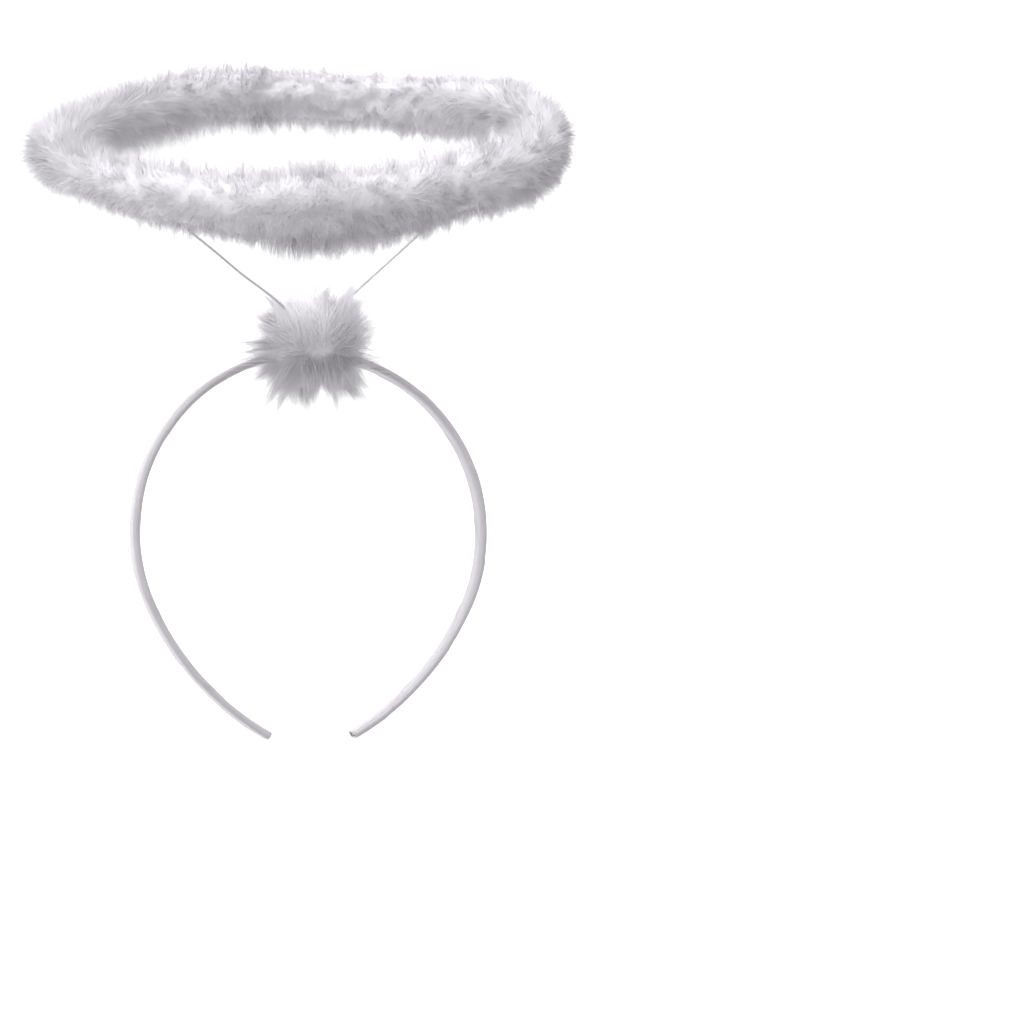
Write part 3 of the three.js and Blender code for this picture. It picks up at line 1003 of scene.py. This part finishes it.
packed_down = dense_down()
finished("boa_heart", make_heart(), packed_down, ["halo_boa"])

# %% [markdown]
# The puff over the wire's foot is made of the same strands, but they all start near one point and stand
# out every way, so its tufts are straighter and more pointed. Some wisps stand out much farther than the
# rest, and a table names them by their direction in the front view.

# %% The pompom
PUFF_BODY = 12.5 * MM
PUFF_REACH = 24 * MM
PUFF_TUFTS = 260
PUFF_SPAN = 7 * MM
PUFF_PARTING = 0.5
PARTING_SHARPNESS = 12
PUFF_COMBED = 2
PUFF_WIDENING = 1.3
WISP_ANGLE = 20
puff_middle = np.array([0, 0, BAND_TOP + 4.5 * MM])

WISP_ROWS = [
    {"turn": 258, "lean": 25, "gain": 0.35},
    {"turn": 228, "lean": 20, "gain": 0.25},
    {"turn": 193, "lean": 10, "gain": 0.9},
    {"turn": 170, "lean": 20, "gain": 0.15},
    {"turn": 350, "lean": 15, "gain": 0.75},
    {"turn": 332, "lean": 15, "gain": 0.5},
    {"turn": 300, "lean": 20, "gain": 0.25},
    {"turn": 45, "lean": 0, "gain": 0.15},
    {"turn": 128, "lean": 5, "gain": 0.15},
]


def puff_gain(directions):
    """How much farther barbs reach in some directions."""
    total = np.ones(len(directions))
    for row in WISP_ROWS:
        turned, lean = math.radians(row["turn"]), math.radians(row["lean"])
        wisp = np.array(
            [math.cos(lean) * math.cos(turned), -math.sin(lean), math.cos(lean) * math.sin(turned)]
        )
        apart = np.degrees(np.arccos(np.clip(directions @ wisp, -1, 1)))
        total += row["gain"] * np.clip(1 - apart / WISP_ANGLE, 0, 1)
    return total


def puff_fan(directions):
    """Leans what stands to the front flat against the puff: up over the band, or down below it."""
    rise = np.tanh(PARTING_SHARPNESS * (directions[:, 2] + PUFF_PARTING))
    fan = unit(np.stack([PUFF_WIDENING * directions[:, 0], np.zeros_like(rise), rise], axis=-1))
    return PUFF_COMBED * np.clip(-directions[:, 1], 0, 1)[:, None] * fan


def puff_tufts():
    draw = np.random.default_rng(8)
    i = np.arange(PUFF_TUFTS) + 0.5
    level = 1 - 2 * i / PUFF_TUFTS
    turned = i * GOLDEN_ANGLE
    flat = np.sqrt(1 - level**2)
    directions = np.stack([flat * np.cos(turned), flat * np.sin(turned), level], axis=-1)
    directions = unit(directions + 0.16 * draw.normal(size=directions.shape))
    headings = unit(directions + puff_fan(directions) + 0.15 * draw.normal(size=directions.shape))
    reach = PUFF_REACH * puff_gain(headings) * (0.62 + 0.6 * draw.uniform(0, 1, PUFF_TUFTS) ** 1.7)
    aside = draw.uniform(-1, 1, PUFF_TUFTS) * PUFF_SPAN * (1 - np.abs(directions[:, 0]))
    return directions, headings, reach, aside, draw.uniform(0, 1, PUFF_TUFTS)


puff_directions, puff_headings, puff_reaches, puff_asides, puff_tones = puff_tufts()


def puff_barbs(sort):
    """A batch of the pompom's barbs, all of one sort."""
    count, draw = sort["count"], np.random.default_rng(sort["seed"])
    tuft = draw.integers(0, PUFF_TUFTS, count)
    direction = unit(puff_directions[tuft] + 0.2 * draw.normal(size=(count, 3)))
    free = unit(direction + puff_fan(direction) + sort["frizz"] * draw.normal(size=(count, 3)))
    hold = np.clip(draw.normal(sort["cling"], HOLD_SPREAD, count), 0, 1)[:, None]
    heading = unit(free * (1 - hold) + puff_headings[tuft] * hold)
    reach = puff_reaches[tuft] * draw.uniform(*sort["span"], count)
    tips = heading * reach[:, None]
    tips[:, 2] -= 0.05 * reach
    roots = direction * draw.uniform(*ROOTS, count)[:, None] * PUFF_BODY
    roots[:, 0] += puff_asides[tuft] + 1.5 * MM * draw.normal(size=count)
    tips[:, 0] += 1.2 * puff_asides[tuft]
    length = np.linalg.norm(tips - roots, axis=1)[:, None]
    own = sort["frizz"] * draw.normal(size=(count, 3))
    bends = roots + 0.5 * length * unit(direction + 0.5 * heading + own)
    widths = sort["width"] * draw.uniform(*WIDTHS, count)
    twist = draw.normal(0, TWIST, count)
    corners = strand_points(roots, bends, tips, direction, widths, STEPS, twist)
    normals = soft_normals(corners, 0.5 * roots, draw) @ turn.T
    tone = toned(puff_tones[tuft], draw)
    return above_floor(laid_down(puff_middle + corners), draw), normals, STEPS, tone


PUFF_SORTS = [
    {"count": 16000, "seed": 51, "span": (0.5, 0.82), "width": 0.12 * MM, "cling": 0.3, "frizz": 0.3},
    {"count": 27000, "seed": 52, "span": (0.76, 1), "width": 0.09 * MM, "cling": 0.96, "frizz": 0.2},
    {"count": 11000, "seed": 53, "span": (0.9, 1.2), "width": 0.09 * MM, "cling": 0.9, "frizz": 0.3},
]
puff_batches = [puff_barbs(sort) for sort in PUFF_SORTS]
finished("pompom_down", down_mesh("pompom_down", puff_batches), marabou, ["pompom"])

# %% The pompom's heart
PUFF_HEART = (14, 10, 12)
BAND_SLOT = (60, BAND_WIDTH / MM + 1.2, BAND_THICKNESS / MM + 3.4)
BAND_SLOT_DROP = 1.0 * MM


def cut_slot(piece, size, place):
    """Cuts a box out of a piece."""
    shape = bmesh.new()
    bmesh.ops.create_cube(shape, size=MM)
    bmesh.ops.scale(shape, vec=size, verts=shape.verts)
    bmesh.ops.translate(shape, vec=place, verts=shape.verts)
    cutter = bpy.data.objects.new("slot", mesh_of(shape, "slot"))
    bpy.context.scene.collection.objects.link(cutter)
    cut = piece.modifiers.new("slot", "BOOLEAN")
    cut.object = cutter
    cut.operation = "DIFFERENCE"
    bpy.context.view_layer.update()
    cut_mesh = bpy.data.meshes.new_from_object(piece.evaluated_get(bpy.context.evaluated_depsgraph_get()))
    piece.modifiers.clear()
    piece.data = cut_mesh
    bpy.data.objects.remove(cutter)


def make_puff_heart():
    """A closed form round the band, where the puff is too dense to see through."""
    shape = bmesh.new()
    bmesh.ops.create_icosphere(shape, subdivisions=4, radius=MM)
    for vertex in shape.verts:
        vertex.co *= 1 + HEART_UNEVEN * noise.noise(vertex.co / MM * 2)
    bmesh.ops.scale(shape, vec=PUFF_HEART, verts=shape.verts)
    bmesh.ops.translate(shape, vec=puff_middle, verts=shape.verts)
    for face in shape.faces:
        face.smooth = True
    return mesh_of(shape, "pompom_heart")


puff_heart = finished("pompom_heart", make_puff_heart(), packed_down, ["pompom"])
cut_slot(puff_heart, BAND_SLOT, (0, 0, BAND_TOP - BAND_SLOT_DROP))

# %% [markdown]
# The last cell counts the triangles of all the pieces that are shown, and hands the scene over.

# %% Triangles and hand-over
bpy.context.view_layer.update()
total = sum(len(f.vertices) - 2 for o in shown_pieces() for f in o.data.polygons)
print("triangles in all:", total)
